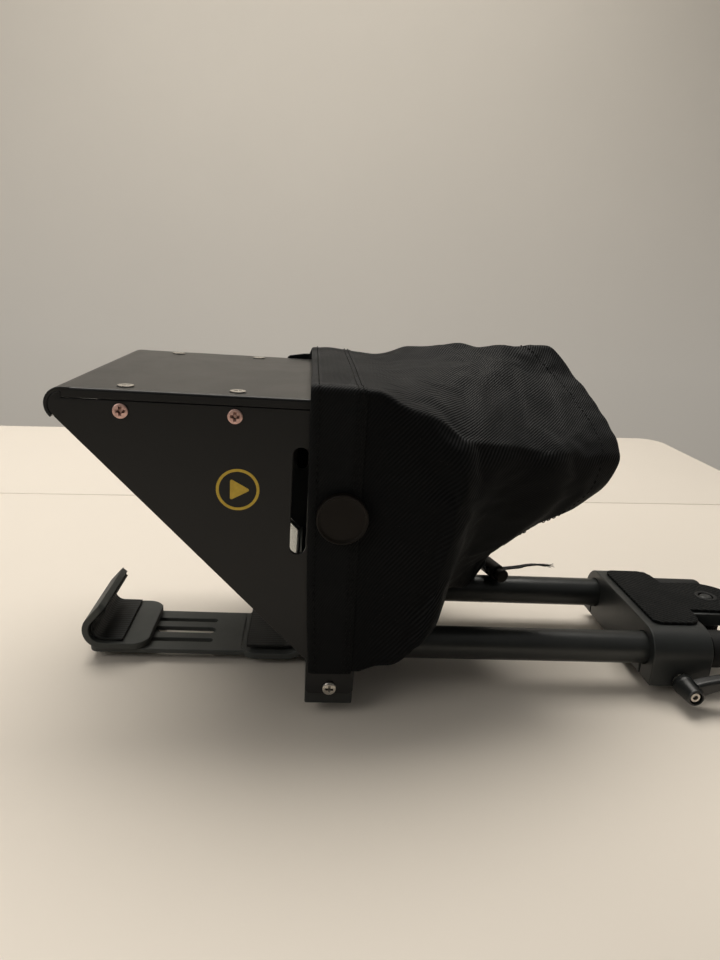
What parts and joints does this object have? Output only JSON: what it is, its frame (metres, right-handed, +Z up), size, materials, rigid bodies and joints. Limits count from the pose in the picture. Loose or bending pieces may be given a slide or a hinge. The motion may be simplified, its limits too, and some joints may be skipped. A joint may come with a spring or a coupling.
{
  "type": "smartphone teleprompter",
  "caption": "Compact teleprompter: black slanted-glass hood over a phone tray, fabric lens shroud, twin rods and a camera block that slides on them.",
  "frame": {"origin": "rear face of the front cross block, midway between the two rods and on the plane of their axes", "axes": "+X along the rods towards the camera and the operator, -X towards the speaker, +Y across the rods to the operator's right, +Z up"},
  "size_m": [0.327, 0.1379, 0.1505],
  "materials": {
    "hood_sheet": "satin black powder coat on folded sheet",
    "black_anodised": "satin black anodised aluminium",
    "charcoal_metal": "satin charcoal coated steel plate",
    "beam_splitter": "half-mirror coated clear glass",
    "shroud_fabric": "black woven nylon, diagonal weave",
    "cord": "thin black braided cord",
    "pad_rubber": "finely ribbed dark rubber",
    "rubber": "matt black rubber",
    "warm_steel": "pinkish passivated steel",
    "black_plastic": "fine-grained black plastic",
    "steel": "bright zinc-plated steel"
  },
  "bodies": {
    "frame": {"beam_splitter_glass": "beam_splitter", "channel_screw_left": "steel", "channel_screw_right": "steel", "cross_block": "black_anodised", "drawcord": "cord", "fixed_jaw": "charcoal_metal", "fixed_jaw_liner": "rubber", "fixed_jaw_screw_left": "steel", "fixed_jaw_screw_right": "steel", "glass_lower_channel": "black_anodised", "hood_angle_left": "black_anodised", "hood_angle_right": "black_anodised", "hood_block_screw_left": "steel", "hood_block_screw_right": "steel", "hood_side_left": "hood_sheet", "hood_side_right": "hood_sheet", "hood_top_cover": "hood_sheet", "rod_end_cap_left": "rubber", "rod_end_cap_right": "rubber", "rod_left": "black_anodised", "rod_right": "black_anodised", "rod_set_screw_left": "steel", "rod_set_screw_right": "steel", "shroud": "shroud_fabric", "shroud_knob_nut_left": "steel", "shroud_knob_nut_right": "steel", "side_screw_front_left": "warm_steel", "side_screw_front_right": "warm_steel", "side_screw_rear_left": "warm_steel", "side_screw_rear_right": "warm_steel", "top_screw_front_left": "steel", "top_screw_front_right": "steel", "top_screw_rear_left": "steel", "top_screw_rear_right": "steel", "tray_plate": "charcoal_metal", "tray_screw_left": "steel", "tray_screw_right": "steel"},
    "rail": {"rail_block": "black_anodised", "camera_pad": "pad_rubber"},
    "camera_washer": {"camera_screw_washer": "rubber"},
    "camera_screw": {"camera_screw": "black_plastic"},
    "clamp_bolt_left": {"clamp_bolt_left": "steel", "clamp_lever_screw_left": "steel", "clamp_lever_spring_left": "steel"},
    "clamp_bolt_right": {"clamp_bolt_right": "steel", "clamp_lever_screw_right": "steel", "clamp_lever_spring_right": "steel"},
    "lever_left": {"clamp_lever_left": "black_anodised"},
    "lever_right": {"clamp_lever_right": "black_anodised"},
    "sliding_jaw": {"sliding_jaw": "charcoal_metal", "sliding_jaw_liner": "rubber", "jaw_clamp_screw": "steel", "jaw_guide_pin_left": "steel", "jaw_guide_pin_right": "steel"},
    "jaw_nut": {"jaw_clamp_nut": "black_anodised"},
    "knob_left": {"shroud_knob_left": "black_plastic"},
    "knob_right": {"shroud_knob_right": "black_plastic"},
    "cord_lock": {"cord_lock_barrel": "black_plastic", "cord_lock_spring": "steel"},
    "cord_button": {"cord_lock_plunger": "black_plastic"}
  },
  "joints": [
    {"name": "rail_slide", "type": "slide", "parent": "frame", "child": "rail", "axis": [1, 0, 0], "range_m": [-0.04, 0.0015]},
    {"name": "camera_screw_lift", "type": "slide", "parent": "rail", "child": "camera_washer", "axis": [0, 0, 1], "range_m": [0, 0.0048]},
    {"name": "camera_screw_turn", "type": "hinge", "parent": "camera_washer", "child": "camera_screw", "pos_m": [0.1857, 0, -0.004], "axis": [0, 0, 1], "continuous": true},
    {"name": "clamp_turn_left", "type": "hinge", "parent": "rail", "child": "clamp_bolt_left", "pos_m": [0.1545, -0.0431, -0.0102], "axis": [0, -1, 0], "range_deg": [-10, 170]},
    {"name": "clamp_turn_right", "type": "hinge", "parent": "rail", "child": "clamp_bolt_right", "pos_m": [0.1545, 0.0431, -0.0102], "axis": [0, -1, 0], "range_deg": [-10, 170]},
    {"name": "lever_lift_left", "type": "slide", "parent": "clamp_bolt_left", "child": "lever_left", "axis": [0, -1, 0], "range_m": [0, 0.004], "stiffness_N_per_m": 600, "springref_m": -0.001, "deforming": ["clamp_lever_spring_left"]},
    {"name": "lever_lift_right", "type": "slide", "parent": "clamp_bolt_right", "child": "lever_right", "axis": [0, 1, 0], "range_m": [0, 0.004], "stiffness_N_per_m": 600, "springref_m": -0.001, "deforming": ["clamp_lever_spring_right"]},
    {"name": "jaw_slide", "type": "slide", "parent": "frame", "child": "sliding_jaw", "axis": [1, 0, 0], "range_m": [-0.0115, 0.03]},
    {"name": "jaw_nut_turn", "type": "hinge", "parent": "sliding_jaw", "child": "jaw_nut", "pos_m": [-0.099, 0, -0.0175], "axis": [0, 0, 1], "continuous": true},
    {"name": "knob_turn_left", "type": "hinge", "parent": "frame", "child": "knob_left", "pos_m": [-0.0089, -0.0652, 0.072], "axis": [0, -1, 0], "continuous": true},
    {"name": "knob_turn_right", "type": "hinge", "parent": "frame", "child": "knob_right", "pos_m": [-0.0089, 0.0652, 0.072], "axis": [0, 1, 0], "continuous": true},
    {"name": "cord_lock_slide", "type": "slide", "parent": "frame", "child": "cord_lock", "axis": [0.96, 0.28, 0], "range_m": [0, 0.01]},
    {"name": "cord_button_press", "type": "slide", "parent": "cord_lock", "child": "cord_button", "axis": [-0.28, 0.96, 0], "range_m": [0, 0.0024], "stiffness_N_per_m": 400, "springref_m": -0.001, "deforming": ["cord_lock_spring"]}
  ]
}
